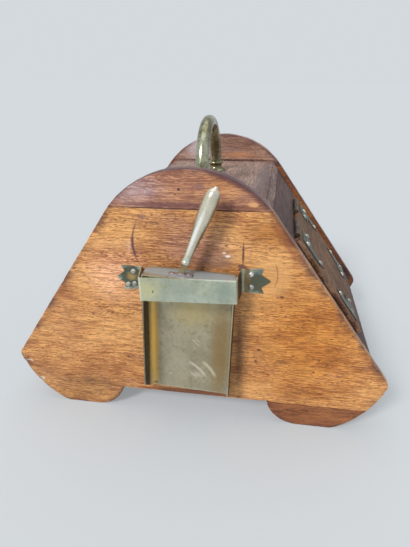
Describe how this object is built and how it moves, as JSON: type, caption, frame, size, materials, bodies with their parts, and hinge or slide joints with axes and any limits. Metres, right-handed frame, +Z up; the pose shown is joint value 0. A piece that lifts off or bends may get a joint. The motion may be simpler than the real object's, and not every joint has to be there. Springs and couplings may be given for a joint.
{
  "type": "coal box",
  "caption": "Free-standing wooden coal box with arched end panels, a sloping hinged lid, a brass bow handle on top and a brass shovel hung in a strap on one end.",
  "frame": {"origin": "centre of the bounding box on the floor plane", "axes": "+X towards the lid side, -Y towards the end with the shovel, +Z up"},
  "size_m": [0.4522, 0.3338, 0.348],
  "materials": {
    "panel_oak": "aged golden oak, waxed, worn pale at the edges",
    "cap_oak": "aged oak, darker and more weathered than the panel",
    "board_oak": "dark grey-brown aged oak, dull wax",
    "lid_oak": "aged oak, orange brown",
    "hidden_wood": "bare softwood",
    "liner_iron": "black japanned sheet iron, dusty",
    "mount_brass": "patinated brass, grey green",
    "hinge_brass": "patinated brass, grey green",
    "handle_brass": "aged brass, olive with pale rubbed places",
    "strap_brass": "aged brass, grey green",
    "shovel_brass": "aged brass, scratched and rubbed",
    "iron_fixings": "dull iron",
    "screw_brass": "aged brass"
  },
  "bodies": {
    "carcass": {"near_panel": "panel_oak", "near_cap": "cap_oak", "near_front_foot": "panel_oak", "near_back_foot": "panel_oak", "far_panel": "panel_oak", "far_cap": "cap_oak", "far_front_foot": "panel_oak", "far_back_foot": "panel_oak", "cap_dowels": "hidden_wood", "foot_dowels": "hidden_wood", "top_board": "board_oak", "front_top_rail": "board_oak", "near_stile": "board_oak", "far_stile": "board_oak", "front_bottom_rail": "board_oak", "front_riser": "board_oak", "back_upper_board": "board_oak", "back_lower_board": "board_oak", "back_riser": "board_oak", "bottom_board": "board_oak", "near_front_batten": "hidden_wood", "near_back_batten": "hidden_wood", "near_top_batten": "hidden_wood", "near_bottom_batten": "hidden_wood", "far_front_batten": "hidden_wood", "far_back_batten": "hidden_wood", "far_top_batten": "hidden_wood", "far_bottom_batten": "hidden_wood", "batten_screws": "iron_fixings", "liner_tray": "liner_iron", "liner_near_end": "liner_iron", "liner_far_end": "liner_iron", "liner_nails": "iron_fixings", "near_hinge_frame_leaf": "hinge_brass", "near_hinge_pin": "iron_fixings", "far_hinge_frame_leaf": "hinge_brass", "far_hinge_pin": "iron_fixings", "hinge_frame_screws": "screw_brass", "carrying_handle": "handle_brass", "near_handle_foot": "handle_brass", "far_handle_foot": "handle_brass", "handle_studs": "iron_fixings", "handle_washers": "iron_fixings", "handle_nuts": "iron_fixings", "strap_holder": "strap_brass", "strap_screws": "screw_brass"},
    "lid": {"lid_board": "lid_oak", "near_top_mount": "mount_brass", "near_bottom_mount": "mount_brass", "far_top_mount": "mount_brass", "far_bottom_mount": "mount_brass", "lid_studs": "mount_brass", "near_hinge_lid_leaf": "hinge_brass", "far_hinge_lid_leaf": "hinge_brass", "hinge_lid_screws": "screw_brass"},
    "shovel": {"shovel_pan": "shovel_brass", "shovel_tang": "shovel_brass", "shovel_rivets": "shovel_brass", "shovel_grip": "shovel_brass"}
  },
  "joints": [
    {"name": "lid_hinge", "type": "hinge", "parent": "carcass", "child": "lid", "pos_m": [0.11624, 0.01535, 0.2205], "axis": [0, -1, 0], "range_deg": [0, 160]},
    {"name": "shovel_lift", "type": "slide", "parent": "carcass", "child": "shovel", "axis": [0.0454, 0, 0.999], "range_m": [0, 0.17]}
  ]
}
